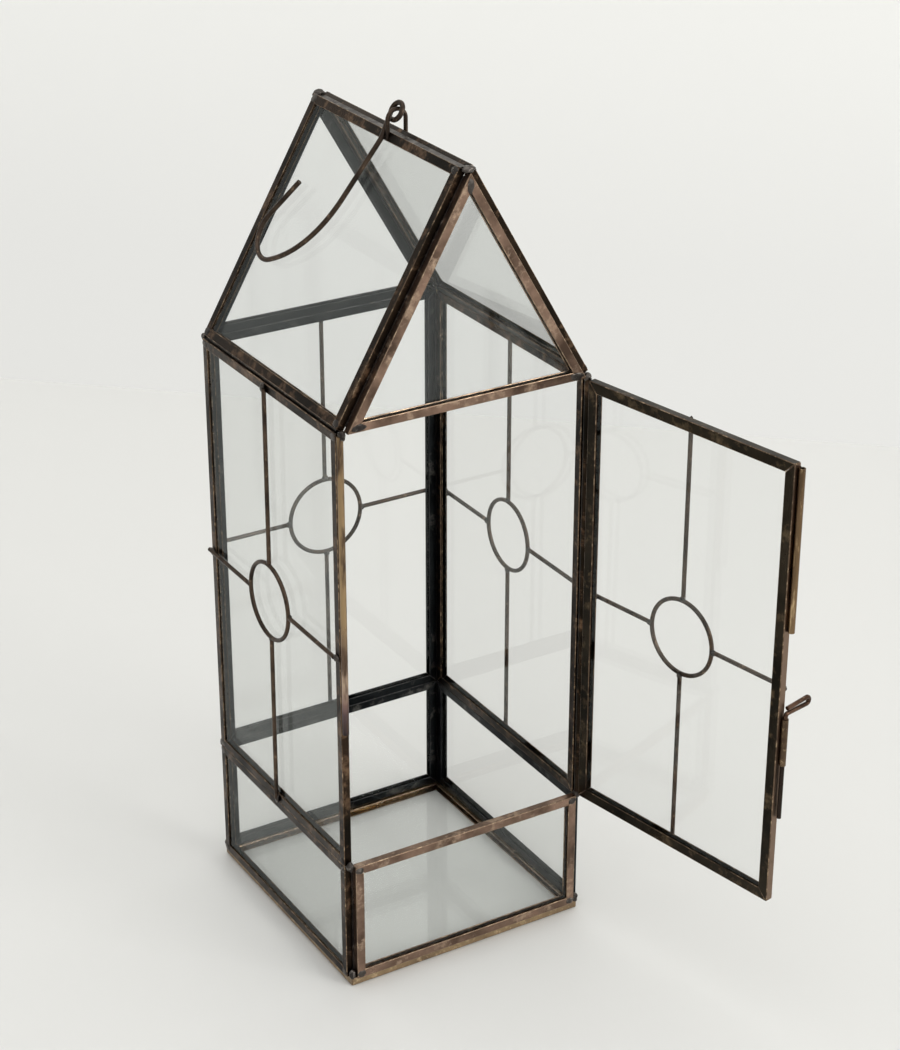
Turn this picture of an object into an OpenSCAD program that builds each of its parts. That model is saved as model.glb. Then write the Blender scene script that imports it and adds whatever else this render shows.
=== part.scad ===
// House-shaped glass cloche: soldered metal channel frames with clear panes, a tall
// hinged door with a wire latch, and a wire hook hanging from an eye on the ridge.
// The origin is the centre of the footprint on the ground, and +X runs along the front.

/* [House] */
// Width across the outer faces of the side walls
case_w = 100; // [96:1:112]
// Depth from the front face to the back face
case_d = 105; // [100:1:125]
// Height of the tray panels below the walls
tray_h = 48; // [42:1:60]
// Height of the wall panels between tray and roof
wall_h = 168.5; // [160:0.5:190]
// Pitch of the roof slopes in degrees
roof_pitch = 60; // [57:1:63]
// How far the floor frame stands in from the walls
floor_inset = 1; // [0:0.1:1.4]

/* [Channel and glass] */
// Thickness of a channel and so of a panel
channel_t = 3; // [2.8:0.1:3.2]
// Width of a channel beside the glass
channel_face = 3.3; // [3:0.1:5]
// Thickness of the channel's sheet metal
channel_wall = 0.4; // [0.3:0.05:0.45]
// Thickness of the panes
glass_t = 2; // [1.4:0.1:2]

/* [Door] */
// Angle at which the door stands open
door_open = 100.9; // [90:0.1:110]
// Width of the door's channel beside its glass
door_face = 4; // [3:0.1:5]
// Gap round the closed door
door_gap = 0.3; // [0.2:0.05:0.4]
// Outside radius of the hinge knuckles
knuckle_r = 1.3; // [1.1:0.05:1.35]
// Radius of the hinge pin
pin_r = 0.6; // [0.4:0.05:0.7]
// Outside radius of the post, closing and latch tubes
tube_r = 1.15; // [1.1:0.05:1.2]
// Bore radius of the post and closing tubes
tube_bore = 0.8; // [0.7:0.05:0.9]
// Radius of the latch wire
latch_r = 0.8; // [0.5:0.05:0.8]
// Reach of the latch's hairpin handle from its stem
latch_reach = 11.6; // [8:0.2:14]

/* [Tracery] */
// Usual radius of the rings, at the middle of the wire
ring_r = 14.4; // [10:0.1:20]
// Radius of the tracery wire
trace_r = 0.8; // [0.5:0.05:1]

/* [Hanging hook] */
// Radius of the eye's wire
eye_wire = 0.75; // [0.6:0.05:0.8]
// Radius of the eye's arch, at the middle of the wire
eye_arch = 3.5; // [3.4:0.1:4]
// Radius of the hook's wire
hook_wire = 0.9; // [0.8:0.05:0.95]
// Radius of the hook's final bend
hook_bend = 9.4; // [7:0.2:11]

/* [Hidden] */
$fn = 48;

dark = [0.25, 0.18, 0.14];
copper = [0.55, 0.36, 0.28];
brass = [0.78, 0.62, 0.34];
solder = [0.62, 0.60, 0.56];
clear = [0.80, 0.90, 0.88, 0.35];

in_x = case_w / 2 - channel_t;
in_y = case_d / 2 - channel_t;
tray_z = channel_t;
wall_z = tray_z + tray_h;
eave_z = wall_z + wall_h;
ridge_z = eave_z + in_x * tan(roof_pitch);
slope_l = in_x / cos(roof_pitch);
rail = channel_face / 2;

front_size = [2 * in_x, tray_h];
side_size = [2 * in_y, tray_h];
back_wall_size = [2 * in_x, wall_h];
side_wall_size = [2 * in_y, wall_h];
slope_size = [2 * in_y, slope_l];
door_size = [2 * (in_x - door_gap), wall_h - 4 * door_gap];
door_z = wall_z + 2 * door_gap;

// Gap left at each mitre, fit of the pane in its groove, and running fit of a pin
mitre_gap = 0.04;
pane_gap = 0.3;
bore_gap = 0.05;
// How far a straight wire laps into a bend, and how much thicker the bend is
bend_lap = 0.1;
bend_swell = 0.01;
// How far the long solder seams stand off the roof's end faces
seam_gap = 0.03;

hinge = [case_w / 2 - channel_t / 2, channel_t / 2 - case_d / 2];
free_edge = [-door_size[0] / 2 - tube_r, 0.6 - case_d / 2];
wall_top_knuckle = [door_z + 135.6, door_z + 167];
wall_low_knuckle = [door_z + 0.7, door_z + 48.5];
door_mid_knuckle = [door_z + 48.7, door_z + 135.4];

// The rings are bent by hand, so each wall has its own radius
left_ring_r = ring_r + 0.1;
back_ring_r = ring_r + 0.7;
right_ring_r = ring_r - 0.6;
door_ring_r = ring_r - 0.2;

// The hook lies along the left slope, and crosses the eye's arch at hang_at degrees
hook_lift = channel_t + hook_wire + 0.2;
arch_h = 5.5;
hang_at = roof_pitch + asin((hook_lift - arch_h * cos(roof_pitch)) / eye_arch);
eye_y = -4.5;
// The hook's loop: its radius, how far its middle hangs below the eye's wire, and the
// angle on its circle at which the wire starts
loop_r = 3.1;
loop_shift = 0.9;
loop_start = 10;

// ---- flat outlines ----

function rect(size) = [[0, 0], [size[0], 0], [size[0], size[1]], [0, size[1]]];
function gable_outline() = [[0, 0], [2 * in_x, 0], [in_x, ridge_z - eave_z]];
function along(a, b) = (b - a) / norm(b - a);
function inward(a, b) = [-along(a, b)[1], along(a, b)[0]];
// Corner i of an outline, moved in by gap from both of its sides
function inset_corner(outline, i, gap) =
    let (
        n = len(outline),
        here = outline[i % n],
        in_a = inward(outline[(i + n - 1) % n], here),
        in_b = inward(here, outline[(i + 1) % n])
    )
    here + gap * (in_a + in_b) / (1 + in_a * in_b);
function inset(outline, gap) = [for (i = [0 : len(outline) - 1]) inset_corner(outline, i, gap)];

// ---- panels ----

// One side of a frame: a mitred length of channel, open towards the glass
module strip(outline, i, face) {
    a = outline[i];
    b = outline[(i + 1) % len(outline)];
    pull = along(a, b) * mitre_gap;
    side = inward(a, b);
    run = along(a, b) * face * 2;
    difference() {
        linear_extrude(channel_t)
            polygon([
                a + pull,
                b - pull,
                inset_corner(outline, i + 1, face) - pull,
                inset_corner(outline, i, face) + pull
            ]);
        translate([0, 0, channel_wall])
            linear_extrude(channel_t - 2 * channel_wall)
                polygon([
                    a + side * channel_wall - run,
                    b + side * channel_wall + run,
                    b + side * (face + 1) + run,
                    a + side * (face + 1) - run
                ]);
    }
}

module frame(outline, face = channel_face) {
    for (i = [0 : len(outline) - 1])
        strip(outline, i, face);
}

module pane(outline) {
    translate([0, 0, (channel_t - glass_t) / 2])
        linear_extrude(glass_t)
            polygon(inset(outline, channel_wall + pane_gap));
}

// ---- where each panel stands ----

module on_left(z) {
    translate([-case_w / 2, -in_y, z])
        rotate([90, 0, 90])
            children();
}

module on_right(z) {
    translate([in_x, -in_y, z])
        rotate([90, 0, 90])
            children();
}

module on_front(z) {
    translate([-in_x, -in_y, z])
        rotate([90, 0, 0])
            children();
}

module on_back(z) {
    translate([-in_x, case_d / 2, z])
        rotate([90, 0, 0])
            children();
}

module on_left_slope() {
    translate([-in_x, in_y, eave_z])
        rotate([0, -roof_pitch, 0])
            rotate([0, 0, -90])
                children();
}

module on_right_slope() {
    mirror([1, 0, 0])
        on_left_slope()
            children();
}

module on_floor() {
    translate([floor_inset - case_w / 2, floor_inset - case_d / 2, 0])
        children();
}

// Turns pieces drawn on the closed door to the open rest pose
module at_door() {
    translate([hinge[0], hinge[1], 0])
        rotate([0, 0, door_open])
            translate([-hinge[0], -hinge[1], 0])
                children();
}

module on_door() {
    at_door()
        translate([-door_size[0] / 2, -in_y, door_z])
            rotate([90, 0, 0])
                children();
}

// ---- wires and tubes ----

module tube(radius, bore, low, high) {
    translate([0, 0, low])
        difference() {
            cylinder(h = high - low, r = radius);
            translate([0, 0, -1])
                cylinder(h = high - low + 2, r = bore);
        }
}

// A straight wire between two points of a panel's plane
module straight(from, to, radius) {
    way = to - from;
    translate([from[0], from[1], 0])
        rotate([0, 90, atan2(way[1], way[0])])
            cylinder(h = norm(way), r = radius);
}

module left_turn(radius, turn, wire) {
    translate([0, radius, 0])
        rotate([0, 0, -90])
            rotate_extrude(angle = turn)
                translate([radius, 0])
                    circle(r = wire);
}

// A wire that follows flat steps from +X: [length] runs straight, [radius, turn] bends,
// to the left for a positive turn. Bends and straights alternate, and each straight
// laps a little into its bends, which are a trace thicker
module bent_wire(steps, wire, k = 0) {
    if (k < len(steps)) {
        step = steps[k];
        if (len(step) == 1) {
            low = k > 0 ? bend_lap : 0;
            high = k < len(steps) - 1 ? bend_lap : 0;
            translate([-low, 0, 0])
                rotate([0, 90, 0])
                    cylinder(h = step[0] + low + high, r = wire);
            translate([step[0], 0, 0])
                bent_wire(steps, wire, k + 1);
        } else {
            centre = step[1] > 0 ? step[0] : -step[0];
            if (step[1] > 0)
                left_turn(step[0], step[1], wire + bend_swell);
            else
                mirror([0, 1, 0])
                    left_turn(step[0], -step[1], wire + bend_swell);
            translate([0, centre, 0])
                rotate([0, 0, step[1]])
                    translate([0, -centre, 0])
                        bent_wire(steps, wire, k + 1);
        }
    }
}

module ring(centre, radius) {
    translate([centre[0], centre[1], 0])
        rotate_extrude()
            translate([radius, 0])
                circle(r = trace_r);
}

module bars(ends) {
    for (e = ends)
        straight(e[0], e[1], trace_r);
}

// Four bars from just outside a ring to the frame
function start(radius) = radius + trace_r + 0.05;
function up_bar(c, r, size) = [c + [0, start(r)], [c[0], size[1] - rail]];
function low_bar(c, r) = [c - [0, start(r)], [c[0], rail]];
function near_bar(c, r) = [c - [start(r), 0], [rail, c[1]]];
function far_bar(c, r, size) = [c + [start(r), 0], [size[0] - rail, c[1]]];
function cross(c, r, size) = [up_bar(c, r, size), low_bar(c, r), near_bar(c, r), far_bar(c, r, size)];

// The tracery lies on a panel's outer face
module outside_low() {
    translate([0, 0, -trace_r])
        children();
}

module outside_high() {
    translate([0, 0, channel_t + trace_r])
        children();
}

left_ring_at = [in_y + 1.5, wall_h / 2];
right_ring_at = [in_y + 3, wall_h / 2];
back_ring_at = [in_x, wall_h / 2];
door_ring_at = door_size / 2 + [1.9, 0];

// The left wall's upright bars lean a little and meet their ring off its middle
left_bars = [
    [left_ring_at + [-0.8, start(left_ring_r)], [in_y + 0.2, wall_h - rail]],
    [left_ring_at - [0.8, start(left_ring_r)], [in_y + 1.4, rail]],
    [left_ring_at - [start(left_ring_r), 0], [channel_face - 0.5, wall_h / 2]],
    [left_ring_at + [start(left_ring_r), 0], [2 * in_y + 0.5, wall_h / 2]]
];

// ---- nodes: floor and tray ----

floor_outline = rect([case_w - 2 * floor_inset, case_d - 2 * floor_inset]);

module floor_frame() {
    color(brass) on_floor() frame(floor_outline);
}

module floor_pane() {
    color(clear) on_floor() pane(floor_outline);
}

module tray_front_frame() {
    color(copper) on_front(tray_z) frame(rect(front_size));
}

module tray_front_pane() {
    color(clear) on_front(tray_z) pane(rect(front_size));
}

module tray_left_frame() {
    color(dark) on_left(tray_z) frame(rect(side_size));
}

module tray_left_pane() {
    color(clear) on_left(tray_z) pane(rect(side_size));
}

module tray_back_frame() {
    color(dark) on_back(tray_z) frame(rect(front_size));
}

module tray_back_pane() {
    color(clear) on_back(tray_z) pane(rect(front_size));
}

module tray_right_frame() {
    color(dark) on_right(tray_z) frame(rect(side_size));
}

module tray_right_pane() {
    color(clear) on_right(tray_z) pane(rect(side_size));
}

// ---- nodes: walls ----

module left_wall_frame() {
    color(dark) on_left(wall_z) frame(rect(side_wall_size));
}

module left_wall_pane() {
    color(clear) on_left(wall_z) pane(rect(side_wall_size));
}

module left_wall_ring() {
    color(dark) on_left(wall_z) outside_low() ring(left_ring_at, left_ring_r);
}

module left_wall_bars() {
    color(dark) on_left(wall_z) outside_low() bars(left_bars);
}

module back_wall_frame() {
    color(dark) on_back(wall_z) frame(rect(back_wall_size));
}

module back_wall_pane() {
    color(clear) on_back(wall_z) pane(rect(back_wall_size));
}

module back_wall_ring() {
    color(dark) on_back(wall_z) outside_low() ring(back_ring_at, back_ring_r);
}

module back_wall_bars() {
    color(dark) on_back(wall_z) outside_low() bars(cross(back_ring_at, back_ring_r, back_wall_size));
}

module right_wall_frame() {
    color(dark) on_right(wall_z) frame(rect(side_wall_size));
}

module right_wall_pane() {
    color(clear) on_right(wall_z) pane(rect(side_wall_size));
}

module right_wall_ring() {
    color(dark) on_right(wall_z) outside_high() ring(right_ring_at, right_ring_r);
}

module right_wall_bars() {
    color(dark)
        on_right(wall_z)
            outside_high()
                bars(cross(right_ring_at, right_ring_r, side_wall_size));
}

// ---- nodes: roof ----

module roof_left_frame() {
    color(dark) on_left_slope() frame(rect(slope_size));
}

module roof_left_pane() {
    color(clear) on_left_slope() pane(rect(slope_size));
}

module roof_right_frame() {
    color(dark) on_right_slope() frame(rect(slope_size));
}

module roof_right_pane() {
    color(clear) on_right_slope() pane(rect(slope_size));
}

module front_gable_frame() {
    color(copper) on_front(eave_z) frame(gable_outline());
}

module front_gable_pane() {
    color(clear) on_front(eave_z) pane(gable_outline());
}

module back_gable_frame() {
    color(dark) on_back(eave_z) frame(gable_outline());
}

module back_gable_pane() {
    color(clear) on_back(eave_z) pane(gable_outline());
}

// ---- nodes: post, hinge and seams ----

// Stands in the front left corner notch, against the left wall
module post_tube() {
    color(brass)
        translate([tube_r - case_w / 2, -in_y - tube_r, 0])
            tube(tube_r, tube_bore, wall_z + 55, eave_z - 0.7);
}

// Two knuckles with webs that join them to the right wall's front edge
module wall_knuckles() {
    color(dark)
        translate([hinge[0], hinge[1], 0])
            for (z = [wall_top_knuckle, wall_low_knuckle])
                difference() {
                    union() {
                        translate([0, 0, z[0]])
                            cylinder(h = z[1] - z[0], r = knuckle_r);
                        translate([-0.5, pin_r + bore_gap + 0.2, z[0]])
                            cube([1, -in_y - hinge[1] - pin_r - bore_gap - 0.2, z[1] - z[0]]);
                    }
                    translate([0, 0, z[0] - 1])
                        cylinder(h = z[1] - z[0] + 2, r = pin_r + bore_gap);
                }
}

// The long middle knuckle, with its web to the door's hinge edge
module door_knuckle() {
    z = door_mid_knuckle;
    reach = hinge[0] - door_size[0] / 2;
    color(dark)
        at_door()
            translate([hinge[0], hinge[1], 0])
                difference() {
                    union() {
                        translate([0, 0, z[0]])
                            cylinder(h = z[1] - z[0], r = knuckle_r);
                        translate([-reach, -0.5, z[0]])
                            cube([reach - pin_r - bore_gap - 0.2, 1, z[1] - z[0]]);
                    }
                    translate([0, 0, z[0] - 1])
                        cylinder(h = z[1] - z[0] + 2, r = pin_r + bore_gap);
                }
}

module hinge_pin() {
    color(brass)
        translate([hinge[0], hinge[1], door_z + 0.1])
            cylinder(h = door_size[1] + 0.3, r = pin_r);
}

// Solder bead of width w in an upright corner notch
module upright_seam(sx, sy, low, high) {
    w = 0.6;
    x = sx > 0 ? in_x : -in_x - w;
    y = sy > 0 ? in_y : -in_y - w;
    translate([x, y, low])
        cube([w, w, high - low]);
}

module solder_seams() {
    w = 0.6;
    color(solder) {
        for (sx = [-1, 1])
            for (sy = [-1, 1])
                upright_seam(sx, sy, tray_z + 0.2, wall_z - 0.2);
        for (sx = [-1, 1])
            upright_seam(sx, 1, wall_z + 0.2, eave_z - 0.2);
        // Rake seams, between a slope's end and a gable
        for (m = [0, 1])
            mirror([m, 0, 0])
                for (y = [-in_y - w, in_y])
                    translate([-in_x, y, eave_z])
                        rotate([0, -roof_pitch, 0])
                            translate([2, 0, 0])
                                cube([slope_l - 4, w, w]);
        // Eave seams, between a wall's top and a slope's lower edge
        for (m = [0, 1])
            mirror([m, 0, 0])
                translate([-in_x - seam_gap, in_y - 2, eave_z + seam_gap / 4])
                    rotate([90, 0, 0])
                        linear_extrude(2 * in_y - 4)
                            polygon([
                                [0, 0],
                                [-1.6 * sin(roof_pitch), 1.6 * cos(roof_pitch)],
                                [-1.6, 0]
                            ]);
        // Ridge seam, in the groove between the slopes
        translate([0, in_y - 2, ridge_z + seam_gap])
            rotate([90, 0, 0])
                linear_extrude(2 * in_y - 4)
                    polygon([
                        [0, 0],
                        [1.2 * sin(roof_pitch), 1.2 * cos(roof_pitch)],
                        [-1.2 * sin(roof_pitch), 1.2 * cos(roof_pitch)]
                    ]);
    }
}

// ---- nodes: ridge eye and hook ----

// An arch on two legs, whose feet are cut to the faces of the slopes
module ridge_eye() {
    color(dark)
        difference() {
            translate([0, eye_y, ridge_z + arch_h])
                rotate([90, 0, 0]) {
                    rotate_extrude(angle = 180)
                        translate([eye_arch, 0])
                            circle(r = eye_wire);
                    for (x = [-eye_arch, eye_arch])
                        translate([x, -arch_h - 3, 0])
                            rotate([-90, 0, 0])
                                cylinder(h = arch_h + 3, r = eye_wire);
                }
            for (m = [0, 1])
                mirror([m, 0, 0])
                    translate([-in_x, eye_y - 5, eave_z])
                        rotate([0, -roof_pitch, 0])
                            translate([0, 0, -20])
                                cube([slope_l, 10, 20 + channel_t]);
        }
}

// Starts as a round loop through the eye and ends in a wide hook on the left slope
hook_steps = [
    [loop_r, -290],
    [8],
    [8, 24],
    [23],
    [47, 50],
    [1],
    [hook_bend, 146],
    [18]
];

module hanging_hook() {
    color(dark)
        translate([
            eye_arch * cos(hang_at),
            eye_y,
            ridge_z + arch_h + eye_arch * sin(hang_at)
        ])
            rotate([0, 180 - roof_pitch, 0])
                translate([loop_shift, 0, 0])
                    rotate([0, 0, loop_start])
                        translate([loop_r, 0, 0])
                            rotate([0, 0, -90])
                                bent_wire(hook_steps, hook_wire);
}

// ---- nodes: door ----

module door_frame() {
    color(dark) on_door() frame(rect(door_size), door_face);
}

module door_pane() {
    color(clear) on_door() pane(rect(door_size));
}

module door_ring() {
    color(dark) on_door() outside_high() ring(door_ring_at, door_ring_r);
}

module door_bars() {
    color(dark) on_door() outside_high() bars(cross(door_ring_at, door_ring_r, door_size));
}

module closing_tube() {
    color(brass)
        at_door()
            translate(free_edge)
                tube(tube_r, tube_bore, door_z + 106, door_z + door_size[1] - 1.7);
}

module latch_tube() {
    color(brass)
        at_door()
            translate(free_edge)
                tube(tube_r, latch_r + bore_gap, door_z + 55, door_z + 73);
}

// One wire: the stem turns in the latch tube, and the top is bent out into a hairpin
module latch_wire() {
    foot = door_z + 34;
    stem = 40;
    bend = 1;
    half = 1.3;
    color(dark)
        at_door()
            translate([free_edge[0], free_edge[1], foot])
                rotate([0, -90, 180])
                    bent_wire([
                        [stem],
                        [bend, 90],
                        [latch_reach - bend - half],
                        [half, -184],
                        [latch_reach - half - 0.6]
                    ], latch_r);
}

floor_frame();
floor_pane();
tray_front_frame();
tray_front_pane();
tray_left_frame();
tray_left_pane();
tray_back_frame();
tray_back_pane();
tray_right_frame();
tray_right_pane();
left_wall_frame();
left_wall_pane();
left_wall_ring();
left_wall_bars();
back_wall_frame();
back_wall_pane();
back_wall_ring();
back_wall_bars();
right_wall_frame();
right_wall_pane();
right_wall_ring();
right_wall_bars();
roof_left_frame();
roof_left_pane();
roof_right_frame();
roof_right_pane();
front_gable_frame();
front_gable_pane();
back_gable_frame();
back_gable_pane();
post_tube();
wall_knuckles();
hinge_pin();
ridge_eye();
solder_seams();
door_frame();
door_pane();
door_ring();
door_bars();
door_knuckle();
closing_tube();
latch_tube();
latch_wire();
hanging_hook();
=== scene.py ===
import math

import bmesh
import bpy
from mathutils import Matrix, Vector, noise


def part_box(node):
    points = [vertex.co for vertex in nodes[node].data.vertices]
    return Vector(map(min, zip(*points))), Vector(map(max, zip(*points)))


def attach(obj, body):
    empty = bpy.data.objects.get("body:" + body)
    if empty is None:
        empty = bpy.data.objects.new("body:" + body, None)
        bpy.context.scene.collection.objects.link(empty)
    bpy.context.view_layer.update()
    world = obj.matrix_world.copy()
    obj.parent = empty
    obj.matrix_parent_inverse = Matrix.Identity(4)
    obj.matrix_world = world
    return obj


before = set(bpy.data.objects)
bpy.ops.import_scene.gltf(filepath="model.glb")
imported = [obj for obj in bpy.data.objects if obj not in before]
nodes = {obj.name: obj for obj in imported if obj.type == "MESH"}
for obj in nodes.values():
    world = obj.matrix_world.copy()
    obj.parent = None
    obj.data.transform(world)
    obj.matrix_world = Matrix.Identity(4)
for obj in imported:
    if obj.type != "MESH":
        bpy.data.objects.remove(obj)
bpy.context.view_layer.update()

# ---- camera ----

CAM_PITCH = math.radians(64.10)
CAM_YAW = math.radians(30.96)

cam_data = bpy.data.cameras.new("camera")
cam_data.lens = 85.1
cam_data.sensor_width = 36.0
camera = bpy.data.objects.new("camera", cam_data)
camera.location = (-0.3998, -0.7057, 0.5471)
camera.rotation_euler = (CAM_PITCH, 0.0, -CAM_YAW)
bpy.context.scene.collection.objects.link(camera)
bpy.context.scene.camera = camera


# ---- small node-tree helpers ----

class Tree:
    """A material's nodes, added and linked in short calls."""

    def __init__(self, name):
        self.mat = bpy.data.materials.new(name)
        self.mat.use_nodes = True
        self.nt = self.mat.node_tree
        self.nt.nodes.clear()
        self.out = self.add("ShaderNodeOutputMaterial")
        self.coords = self.add("ShaderNodeTexCoord").outputs["Object"]

    def add(self, kind, **values):
        node = self.nt.nodes.new(kind)
        for key, value in values.items():
            setattr(node, key, value)
        return node

    def link(self, a, b):
        self.nt.links.new(a, b)

    def noise(self, scale, detail=3.0, rough=0.55, offset=(0, 0, 0), stretch=(1, 1, 1)):
        move = self.add("ShaderNodeMapping")
        move.inputs["Location"].default_value = offset
        move.inputs["Scale"].default_value = stretch
        self.link(self.coords, move.inputs["Vector"])
        tex = self.add("ShaderNodeTexNoise")
        tex.inputs["Scale"].default_value = scale
        tex.inputs["Detail"].default_value = detail
        tex.inputs["Roughness"].default_value = rough
        self.link(move.outputs["Vector"], tex.inputs["Vector"])
        return tex.outputs["Fac"]

    def remap(self, value, low, high, to_low=0.0, to_high=1.0):
        node = self.add("ShaderNodeMapRange")
        node.inputs["From Min"].default_value = low
        node.inputs["From Max"].default_value = high
        node.inputs["To Min"].default_value = to_low
        node.inputs["To Max"].default_value = to_high
        self.link(value, node.inputs["Value"])
        return node.outputs["Result"]

    def mix(self, fac, a, b):
        """Mixes two colours, each of them a tuple or a socket."""
        node = self.add("ShaderNodeMix", data_type="RGBA")
        self.link(fac, node.inputs["Factor"])
        # A colour mix has its colours at inputs 6 and 7, and its result at output 2
        for socket, value in ((node.inputs[6], a), (node.inputs[7], b)):
            if isinstance(value, tuple):
                socket.default_value = (*value, 1.0)
            else:
                self.link(value, socket)
        return node.outputs[2]

    def ramp(self, fac, stops):
        node = self.add("ShaderNodeValToRGB")
        ends = node.color_ramp.elements
        while len(ends) < len(stops):
            ends.new(0.5)
        for end, (place, colour) in zip(ends, stops):
            end.position = place
            end.color = (*colour, 1.0)
        self.link(fac, node.inputs["Fac"])
        return node.outputs["Color"]

    def bump(self, height, strength, distance):
        node = self.add("ShaderNodeBump")
        node.inputs["Strength"].default_value = strength
        node.inputs["Distance"].default_value = distance
        self.link(height, node.inputs["Height"])
        return node.outputs["Normal"]


def metal(name, deep, mid, worn, rough=(0.30, 0.58), wear=0.55, seed=0.0, patch=38.0,
          bump=0.35, stretch=(1, 1, 1), side=None, below=None, fleck=430.0):
    """Patinated metal: large patches from deep to mid, small rubbed flecks of worn metal.

    With side, a (direction, colour) pair, the faces that look that way take the colour: a painted
    lit side.
    With below, a (height, colour) pair, the metal under that height takes the colour.
    """
    t = Tree(name)
    shift = (seed, seed * 0.7, -seed)
    patches = t.noise(patch, 4.0, 0.6, shift, stretch)
    flecks = t.noise(fleck, 4.0, 0.68, shift, stretch)
    grain = t.noise(1500.0, 2.0, 0.5, shift)
    base = t.mix(t.remap(patches, 0.36, 0.66), deep, mid)
    if side is not None:
        # Painted lit side: the faces turned the given way take the side colour in place of the
        # patina.
        faces = t.add("ShaderNodeVectorMath", operation="DOT_PRODUCT")
        t.link(t.add("ShaderNodeTexCoord").outputs["Normal"], faces.inputs[0])
        faces.inputs[1].default_value = side[0]
        base = t.mix(t.remap(faces.outputs["Value"], 0.85, 0.95), base, side[1])
    if below is not None:
        split = t.add("ShaderNodeSeparateXYZ")
        t.link(t.coords, split.inputs[0])
        height = t.remap(split.outputs["Z"], below[0] - 0.002, below[0] + 0.002)
        base = t.mix(height, below[1], base)
    rub = t.remap(flecks, wear, wear + 0.16)
    colour = t.mix(rub, base, worn)
    shader = t.add("ShaderNodeBsdfPrincipled")
    shader.inputs["Metallic"].default_value = 1.0
    t.link(colour, shader.inputs["Base Color"])
    t.link(t.remap(patches, 0.3, 0.7, rough[1], rough[0]), shader.inputs["Roughness"])
    t.link(t.bump(grain, bump, 0.00008), shader.inputs["Normal"])
    t.link(shader.outputs[0], t.out.inputs["Surface"])
    return t.mat


def tinted_tube(name, low, high):
    """Golden tube whose lower end went through purple, copper and straw in the flame."""
    t = Tree(name)
    split = t.add("ShaderNodeSeparateXYZ")
    t.link(t.coords, split.inputs[0])
    wobble = t.noise(90.0, 3.0, 0.6)
    height = t.add("ShaderNodeMath", operation="MULTIPLY_ADD")
    t.link(wobble, height.inputs[0])
    height.inputs[1].default_value = 0.010
    t.link(split.outputs["Z"], height.inputs[2])
    place = t.remap(height.outputs[0], low + 0.005, high + 0.005)
    colour = t.ramp(place, [
        (0.00, (0.03, 0.025, 0.025)),
        (0.04, (0.10, 0.07, 0.075)),
        (0.10, (0.25, 0.16, 0.14)),
        (0.17, (0.50, 0.37, 0.27)),
        (0.26, (0.18, 0.12, 0.085)),
        (0.42, (0.36, 0.25, 0.135)),
        (1.00, (0.31, 0.21, 0.115)),
    ])
    flecks = t.noise(300.0, 3.0, 0.6, (0, 0, 0), (1, 1, 0.2))
    colour = t.mix(t.remap(flecks, 0.50, 0.68), colour, (0.09, 0.06, 0.042))
    shader = t.add("ShaderNodeBsdfPrincipled")
    shader.inputs["Metallic"].default_value = 1.0
    t.link(colour, shader.inputs["Base Color"])
    t.link(t.remap(flecks, 0.3, 0.7, 0.24, 0.5), shader.inputs["Roughness"])
    t.link(t.bump(flecks, 0.2, 0.0001), shader.inputs["Normal"])
    t.link(shader.outputs[0], t.out.inputs["Surface"])
    return t.mat


GLASS_IOR = 1.5


def clear_glass(name):
    """Thin clear pane: it passes light unbent, and mirrors by its angle."""
    t = Tree(name)
    through = t.add("ShaderNodeBsdfTransparent")
    through.inputs["Color"].default_value = (0.992, 0.995, 0.993, 1.0)
    mirror = t.add("ShaderNodeBsdfGlossy")
    mirror.inputs["Color"].default_value = (0.52, 0.54, 0.53, 1.0)
    mirror.inputs["Roughness"].default_value = 0.006
    normal = t.bump(t.noise(9.0, 1.0, 0.4), 0.05, 0.002)
    t.link(normal, mirror.inputs["Normal"])
    side = t.add("ShaderNodeNewGeometry").outputs["Backfacing"]
    fresnel = t.add("ShaderNodeFresnel")
    # The Fresnel node inverts its index on back faces, so they are given the inverse
    t.link(t.remap(side, 0.0, 1.0, GLASS_IOR, 1 / GLASS_IOR), fresnel.inputs["IOR"])
    t.link(normal, fresnel.inputs["Normal"])
    both = t.add("ShaderNodeMixShader")
    t.link(fresnel.outputs[0], both.inputs[0])
    t.link(through.outputs[0], both.inputs[1])
    t.link(mirror.outputs[0], both.inputs[2])
    t.link(both.outputs[0], t.out.inputs["Surface"])
    return t.mat


# ---- materials ----

# Each frame material has a lighter edge material for its bevels: rubbed metal, with a painted edge
# highlight as well.
dark = metal("patina_dark", (0.009, 0.007, 0.005), (0.036, 0.023, 0.015), (0.15, 0.092, 0.056),
             rough=(0.22, 0.5), wear=0.53, bump=0.6, fleck=150.0)
dark_rub_and_highlight = metal("patina_rub_and_highlight", (0.050, 0.035, 0.025), (0.21, 0.142, 0.095), (0.50, 0.36, 0.23),
                  rough=(0.24, 0.44), wear=0.52, seed=3.0, patch=90.0)
inner = metal("patina_blue_grey", (0.007, 0.008, 0.009), (0.024, 0.027, 0.029),
              (0.085, 0.082, 0.076), rough=(0.22, 0.5), wear=0.55, seed=5.0, bump=0.6,
              fleck=170.0)
inner_rub_and_highlight = metal("blue_grey_rub_and_highlight", (0.026, 0.028, 0.030), (0.070, 0.070, 0.070),
                   (0.18, 0.16, 0.135), wear=0.58, seed=6.0, patch=90.0)
copper = metal("copper_brown", (0.080, 0.052, 0.038), (0.265, 0.173, 0.126),
               (0.44, 0.32, 0.23), rough=(0.26, 0.5), wear=0.54, seed=1.7, patch=70.0, fleck=170.0)
copper_rub_and_highlight = metal("copper_rub_and_highlight", (0.17, 0.115, 0.080), (0.37, 0.26, 0.18), (0.58, 0.43, 0.29),
                    rough=(0.2, 0.38), wear=0.5, seed=4.1, patch=140.0)
DOOR_OPEN = math.radians(100.9)
lit_edge_side = (-math.cos(DOOR_OPEN), -math.sin(DOOR_OPEN), 0.0)
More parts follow.
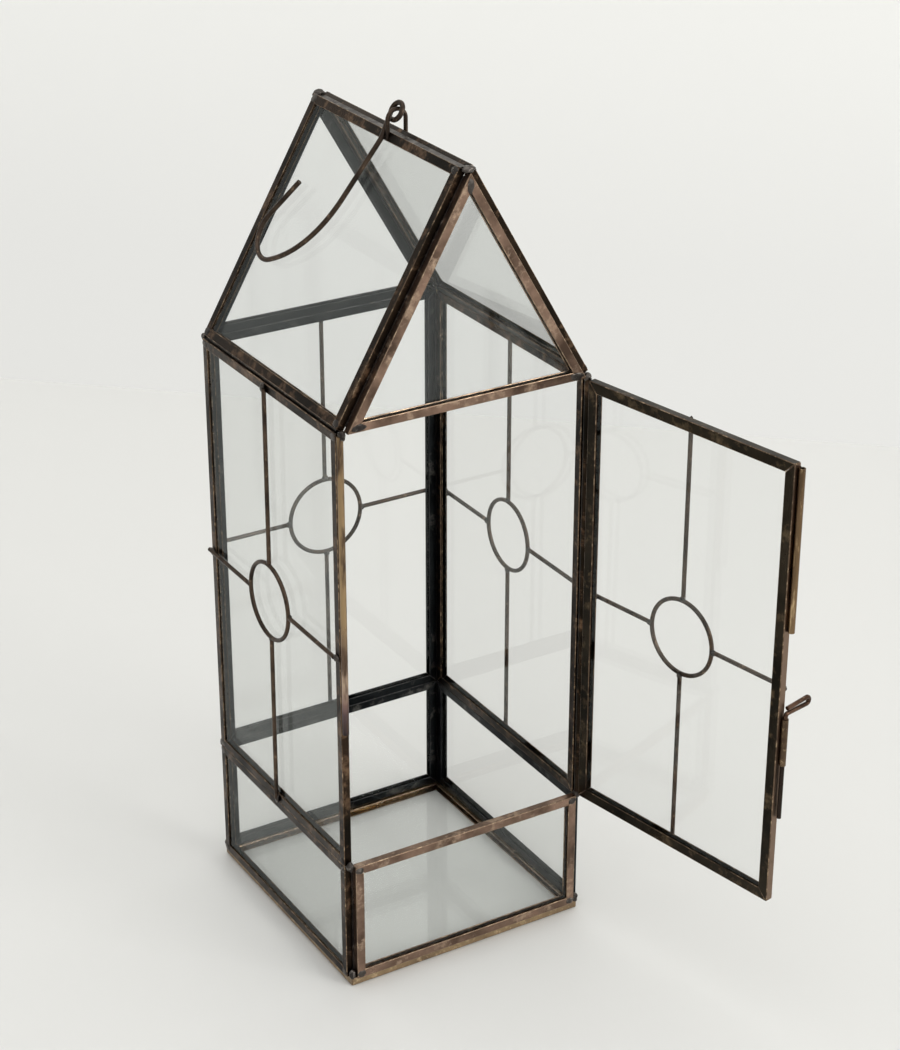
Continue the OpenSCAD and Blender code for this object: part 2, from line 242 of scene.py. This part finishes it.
# Painted lit side: the door's free-edge faces, turned toward the key light, take a lighter brown
# than the rest of the door.
door_dark = metal("door_olive_black", (0.011, 0.009, 0.006), (0.038, 0.029, 0.019),
                  (0.12, 0.085, 0.05), rough=(0.22, 0.5), wear=0.54, seed=7.0, bump=0.6, fleck=150.0,
                  side=(lit_edge_side, (0.20, 0.135, 0.095)))
wire = metal("wire_dark", (0.036, 0.027, 0.022), (0.105, 0.073, 0.053), (0.26, 0.18, 0.12),
             rough=(0.26, 0.46), wear=0.58, seed=9.0, patch=90.0)
latch_copper = metal("latch_copper", (0.050, 0.028, 0.019), (0.155, 0.090, 0.060),
                     (0.42, 0.27, 0.18), rough=(0.14, 0.30), wear=0.60, seed=10.0, patch=90.0,
                     below=(0.122, (0.030, 0.022, 0.018)))
coppery = metal("coppery_tube", (0.055, 0.034, 0.021), (0.19, 0.122, 0.067), (0.60, 0.43, 0.24),
                rough=(0.20, 0.40), wear=0.54, seed=11.0, patch=80.0, stretch=(1, 1, 0.15))
latch_brown = metal("latch_tube_brown", (0.055, 0.036, 0.024), (0.15, 0.10, 0.062),
                    (0.38, 0.27, 0.16), rough=(0.22, 0.42), wear=0.56, seed=12.0, patch=90.0)
floor_brass = metal("floor_brass", (0.20, 0.14, 0.09), (0.44, 0.32, 0.185), (0.62, 0.47, 0.29),
                    rough=(0.22, 0.42), wear=0.52, seed=13.0)
pin_metal = metal("pin_brass", (0.10, 0.07, 0.045), (0.24, 0.17, 0.10), (0.42, 0.31, 0.18),
                  seed=15.0)
solder = metal("dull_solder", (0.034, 0.030, 0.028), (0.11, 0.098, 0.088), (0.30, 0.27, 0.24),
               rough=(0.28, 0.52), wear=0.57, seed=17.0, patch=200.0, bump=0.8)
glass = clear_glass("pane_glass")
post_low, post_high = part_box("post_tube")
tube_tint = tinted_tube("heat_tinted_brass", post_low.z, post_high.z)


# ---- the CAD nodes: a small bevel, and their own materials ----

EDGE_BEVEL = 0.00025


def dress(name, body_mat, rub_and_highlight_mat=None):
    """Gives a CAD node its material, and its bevelled edges a lighter one: rubbed metal with a
    painted edge highlight.
    """
    obj = nodes[name]
    obj.data.materials.clear()
    obj.data.materials.append(body_mat)
    if rub_and_highlight_mat is None:
        return
    obj.data.materials.append(rub_and_highlight_mat)
    weld = obj.modifiers.new("weld", "WELD")
    weld.merge_threshold = 0.000002
    bevel = obj.modifiers.new("bevel", "BEVEL")
    bevel.width = EDGE_BEVEL
    bevel.segments = 2
    bevel.limit_method = "ANGLE"
    bevel.angle_limit = math.radians(40)
    # The bevel's faces take the second material, rubbed metal with a painted edge highlight.
    bevel.material = 1
    bevel.use_clamp_overlap = True


for part in ("tray_left", "left_wall", "right_wall", "roof_left", "roof_right"):
    dress(part + "_frame", dark, dark_rub_and_highlight)
for part in ("tray_back", "tray_right", "back_wall", "back_gable"):
    dress(part + "_frame", inner, inner_rub_and_highlight)
for part in ("tray_front", "front_gable"):
    dress(part + "_frame", copper, copper_rub_and_highlight)
dress("floor_frame", floor_brass, copper_rub_and_highlight)
dress("door_frame", door_dark, dark_rub_and_highlight)
for name in nodes:
    if name.endswith("_pane"):
        dress(name, glass)
    elif name.endswith("_ring") or name.endswith("_bars"):
        dress(name, wire)
dress("post_tube", tube_tint)
dress("closing_tube", coppery)
dress("latch_tube", latch_brown)
dress("wall_knuckles", dark)
dress("door_knuckle", dark)
dress("hinge_pin", pin_metal)
dress("ridge_eye", wire)
dress("latch_wire", latch_copper)
dress("hanging_hook", wire)
dress("solder_seams", solder)


# ---- solder blobs ----

# Half sizes of the case inside and outside its channels, in millimetres as in the CAD
IN_X, IN_Y = 47.0, 49.5
CHANNEL_T = 3.0
CASE_X, CASE_Y = IN_X + CHANNEL_T, IN_Y + CHANNEL_T
TRAY_Z, WALL_Z, EAVE_Z, RIDGE_Z = 3.0, 51.0, 219.5, 300.9
TRAY_H = WALL_Z - TRAY_Z
WALL_H = EAVE_Z - WALL_Z
GABLE_H = RIDGE_Z - EAVE_Z
SLOPE = 2 * IN_X
DOOR_W, DOOR_H, DOOR_Z = 93.4, 167.3, 51.6
ROOF_PITCH = math.radians(60)
ROOF_UP = (math.cos(ROOF_PITCH), 0.0, math.sin(ROOF_PITCH))
HINGE = Vector((48.5, -51.0, 0.0))
# Widths of the case's and the door's rails, and the middle radius of each wall's ring
RAIL, DOOR_RAIL = 3.3, 4.0
LEFT_RING, RIGHT_RING, BACK_RING, DOOR_RING = 14.5, 13.8, 15.1, 14.2
# How far the rings' middles stand from the middles of their panes
LEFT_OFF, RIGHT_OFF, DOOR_OFF = 1.5, 3.0, 1.9
WIRE_R = 0.8
PUDDLE = 0.26


def panel(origin, right, up, out):
    """Matrix from millimetres on a panel's outer face to the world's metres."""
    turn = Matrix((right, up, out)).transposed().to_4x4()
    return Matrix.Scale(0.001, 4) @ Matrix.Translation(origin) @ turn


def on_door(matrix):
    """Turns a matrix made for the closed door to the open door."""
    hinge = HINGE * 0.001
    turn = Matrix.Rotation(DOOR_OPEN, 4, "Z")
    return Matrix.Translation(hinge) @ turn @ Matrix.Translation(-hinge) @ matrix


X, Y, Z = (1, 0, 0), (0, 1, 0), (0, 0, 1)
WEST, SOUTH = (-1, 0, 0), (0, -1, 0)
world_mm = Matrix.Scale(0.001, 4)
tray_left = panel((-CASE_X, -IN_Y, TRAY_Z), Y, Z, WEST)
tray_right = panel((CASE_X, -IN_Y, TRAY_Z), Y, Z, X)
tray_front = panel((-IN_X, -CASE_Y, TRAY_Z), X, Z, SOUTH)
tray_back = panel((-IN_X, CASE_Y, TRAY_Z), X, Z, Y)
wall_left = panel((-CASE_X, -IN_Y, WALL_Z), Y, Z, WEST)
wall_right = panel((CASE_X, -IN_Y, WALL_Z), Y, Z, X)
wall_back = panel((-IN_X, CASE_Y, WALL_Z), X, Z, Y)
gable_front = panel((-IN_X, -CASE_Y, EAVE_Z), X, Z, SOUTH)
gable_back = panel((-IN_X, CASE_Y, EAVE_Z), X, Z, Y)
slope_x = IN_X + CHANNEL_T * ROOF_UP[2]
slope_z = EAVE_Z + CHANNEL_T * ROOF_UP[0]
roof_left = panel((-slope_x, IN_Y, slope_z), SOUTH, ROOF_UP, (-ROOF_UP[2], 0, ROOF_UP[0]))
roof_right = panel((slope_x, IN_Y, slope_z), SOUTH, (-ROOF_UP[0], 0, ROOF_UP[2]),
                   (ROOF_UP[2], 0, ROOF_UP[0]))
door_face = on_door(panel((-DOOR_W / 2, -CASE_Y, DOOR_Z), X, Z, SOUTH))


def lumps(name, places, body, mat):
    """Uneven beads of solder. Each place is (matrix, centre, half sizes)."""
    bm = bmesh.new()
    for k, (matrix, centre, half) in enumerate(places):
        made = bmesh.ops.create_icosphere(bm, subdivisions=3, radius=1.0)
        shift = Vector((k * 3.7, k * 1.9, len(name)))
        for v in made["verts"]:
            p = v.co.copy()
            swell = 1.0 + 0.30 * noise.noise(p * 1.4 + shift)
            v.co = matrix @ (Vector(centre) + Vector([p[i] * half[i] * swell for i in range(3)]))
    bmesh.ops.recalc_face_normals(bm, faces=bm.faces)
    for face in bm.faces:
        face.smooth = True
    mesh = bpy.data.meshes.new(name)
    bm.to_mesh(mesh)
    bm.free()
    mesh.materials.append(mat)
    obj = bpy.data.objects.new(name, mesh)
    bpy.context.scene.collection.objects.link(obj)
    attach(obj, body)


def corner_pads(matrix, width, height, face=RAIL):
    """Thin puddles of solder over a frame's four mitres."""
    mid = face * 0.5
    return [(matrix, (u, v, -0.05), (face * 0.52, face * 0.42, PUDDLE))
            for u in (mid, width - mid) for v in (mid, height - mid)]


def ring_joints(matrix, centre, radius, width, height, face=RAIL):
    """Beads where a ring meets its four bars, and where the bars end on the frame."""
    u, v = centre
    reach = radius + WIRE_R
    end = face * 0.5
    mid = 0.55
    beads = [(matrix, p, (1.2, 1.2, 0.78)) for p in (
        (u + reach, v, mid), (u - reach, v, mid), (u, v + reach, mid), (u, v - reach, mid))]
    ends = [(matrix, (end, v, mid), (1.9, 1.35, 0.76)),
            (matrix, (width - end, v, mid), (1.9, 1.35, 0.76)),
            (matrix, (u, end, mid), (1.35, 1.9, 0.76)),
            (matrix, (u, height - end, mid), (1.35, 1.9, 0.76))]
    return beads + ends


pads = []
for matrix, width, height in (
        (tray_left, 2 * IN_Y, TRAY_H), (tray_right, 2 * IN_Y, TRAY_H),
        (tray_front, 2 * IN_X, TRAY_H), (tray_back, 2 * IN_X, TRAY_H),
        (wall_left, 2 * IN_Y, WALL_H), (wall_right, 2 * IN_Y, WALL_H),
        (wall_back, 2 * IN_X, WALL_H),
        (roof_left, 2 * IN_Y, SLOPE), (roof_right, 2 * IN_Y, SLOPE)):
    pads += corner_pads(matrix, width, height)
for matrix in (gable_front, gable_back):
    # The low corners are sharp, so their puddles are long, and the top one stands upright
    pads += [(matrix, (4.3, 1.6, -0.05), (2.8, 1.4, PUDDLE)),
             (matrix, (2 * IN_X - 4.3, 1.6, -0.05), (2.8, 1.4, PUDDLE)),
             (matrix, (IN_X, GABLE_H - 4.6, -0.05), (1.3, 2.6, PUDDLE))]
lumps("corner_solder", pads, "case", solder)

beads = []
for sx in (-1, 1):
    for sy in (-1, 1):
        for z in (TRAY_Z + 1.5, WALL_Z, EAVE_Z - 0.6):
            beads.append((world_mm, (sx * 48.3, sy * 50.8, z), (1.35, 1.35, 1.9)))
    beads.append((world_mm, (0, sx * 50.9, RIDGE_Z + 0.7), (2.3, 1.6, 1.3)))
lumps("seam_beads", beads, "case", solder)

for name, matrix, u, radius, width in (
        ("left_wall_joints", wall_left, IN_Y + LEFT_OFF, LEFT_RING, 2 * IN_Y),
        ("right_wall_joints", wall_right, IN_Y + RIGHT_OFF, RIGHT_RING, 2 * IN_Y),
        ("back_wall_joints", wall_back, IN_X, BACK_RING, 2 * IN_X)):
    joints = ring_joints(matrix, (u, WALL_H / 2), radius, width, WALL_H)
    lumps(name, joints, "case", solder)
door_centre = (DOOR_W / 2 + DOOR_OFF, DOOR_H / 2)
joints = ring_joints(door_face, door_centre, DOOR_RING, DOOR_W, DOOR_H, DOOR_RAIL)
lumps("door_joints", joints, "door", solder)
lumps("door_corner_solder", corner_pads(door_face, DOOR_W, DOOR_H, DOOR_RAIL), "door", solder)


# ---- table, backdrop, light ----

def sheet_object(name, corners, mat):
    mesh = bpy.data.meshes.new(name)
    mesh.from_pydata(corners, [], [(0, 1, 2, 3)])
    mesh.materials.append(mat)
    obj = bpy.data.objects.new(name, mesh)
    bpy.context.scene.collection.objects.link(obj)


def paper(name, colour, rough, glow=0.0):
    """Matt faintly clouded white. Its back is clear, so a view from behind isn't blocked."""
    t = Tree(name)
    shader = t.add("ShaderNodeBsdfPrincipled")
    cloud = t.noise(3.0, 3.0, 0.5)
    darker = tuple(c * 0.985 for c in colour)
    t.link(t.mix(cloud, darker, colour), shader.inputs["Base Color"])
    shader.inputs["Roughness"].default_value = rough
    shader.inputs["Emission Color"].default_value = (*colour, 1.0)
    shader.inputs["Emission Strength"].default_value = glow
    both = t.add("ShaderNodeMixShader")
    t.link(t.add("ShaderNodeNewGeometry").outputs["Backfacing"], both.inputs[0])
    t.link(shader.outputs[0], both.inputs[1])
    t.link(t.add("ShaderNodeBsdfTransparent").outputs[0], both.inputs[2])
    t.link(both.outputs[0], t.out.inputs["Surface"])
    return t.mat


table_mat = paper("table_white", (0.700, 0.698, 0.680), 0.5)
wall_mat = paper("backdrop_white", (0.85, 0.85, 0.825), 0.8, 0.19)

view_dir = Vector((math.sin(CAM_YAW), math.cos(CAM_YAW), 0))
side_dir = Vector((view_dir.y, -view_dir.x, 0))
# The table's far edge crosses the view at this distance and turn, and the backdrop stands
# a little behind it
EDGE_AWAY = 1.27
EDGE_TURN = math.radians(-11)
WALL_GAP = 0.25
HALF_WIDE, TABLE_DEEP = 3.0, 4.0
WALL_FOOT, WALL_TOP = -0.3, 3.0
# The table lies just under the floor frame
TABLE_Z = -0.0002
edge_mid = Vector((camera.location.x, camera.location.y, 0)) + view_dir * EDGE_AWAY
edge_dir = Matrix.Rotation(EDGE_TURN, 3, "Z") @ side_dir


def stage_point(along, out, z):
    """A point so far along the table's far edge, so far beyond it, and at height z."""
    spot = edge_mid + edge_dir * along + view_dir * out
    return (spot.x, spot.y, z)


sheet_object("table", [
    stage_point(-HALF_WIDE, -TABLE_DEEP, TABLE_Z), stage_point(HALF_WIDE, -TABLE_DEEP, TABLE_Z),
    stage_point(HALF_WIDE, 0, TABLE_Z), stage_point(-HALF_WIDE, 0, TABLE_Z),
], table_mat)
sheet_object("backdrop", [
    stage_point(-HALF_WIDE, WALL_GAP, WALL_FOOT), stage_point(HALF_WIDE, WALL_GAP, WALL_FOOT),
    stage_point(HALF_WIDE, WALL_GAP, WALL_TOP), stage_point(-HALF_WIDE, WALL_GAP, WALL_TOP),
], wall_mat)


def area_light(name, place, aim, size, power, colour=(1, 1, 1)):
    data = bpy.data.lights.new(name, "AREA")
    data.shape = "RECTANGLE"
    data.size, data.size_y = size
    data.energy = power
    data.color = colour
    obj = bpy.data.objects.new(name, data)
    obj.location = place
    obj.rotation_euler = (Vector(aim) - Vector(place)).to_track_quat("-Z", "Y").to_euler()
    bpy.context.scene.collection.objects.link(obj)


area_light("key", (0.95, -1.7, 0.95), (0, 0, 0.12), (0.8, 0.9), 13, (1.0, 0.985, 0.96))
area_light("top", (-0.3, 0.2, 1.9), (0, 0, 0), (1.6, 1.6), 7)

world = bpy.data.worlds.new("studio")
bpy.context.scene.world = world
world.use_nodes = True
sky = world.node_tree
# The sky is brightest toward one upper side, and dimmer on the other
look = sky.nodes.new("ShaderNodeTexCoord").outputs["Generated"]
toward = sky.nodes.new("ShaderNodeVectorMath")
toward.operation = "DOT_PRODUCT"
toward.inputs[1].default_value = (0.50, -0.30, 0.81)
level = sky.nodes.new("ShaderNodeMapRange")
level.inputs["From Min"].default_value = -0.7
level.inputs["From Max"].default_value = 0.9
level.inputs["To Min"].default_value = 0.30
level.inputs["To Max"].default_value = 1.12
sky.links.new(look, toward.inputs[0])
sky.links.new(toward.outputs["Value"], level.inputs["Value"])
sky.links.new(level.outputs["Result"], sky.nodes["Background"].inputs["Strength"])
sky.nodes["Background"].inputs["Color"].default_value = (1.0, 1.0, 0.99, 1)

bpy.context.scene.view_settings.view_transform = "Standard"
bpy.context.scene.cycles.use_denoising = True
bpy.context.scene.cycles.transparent_max_bounces = 24
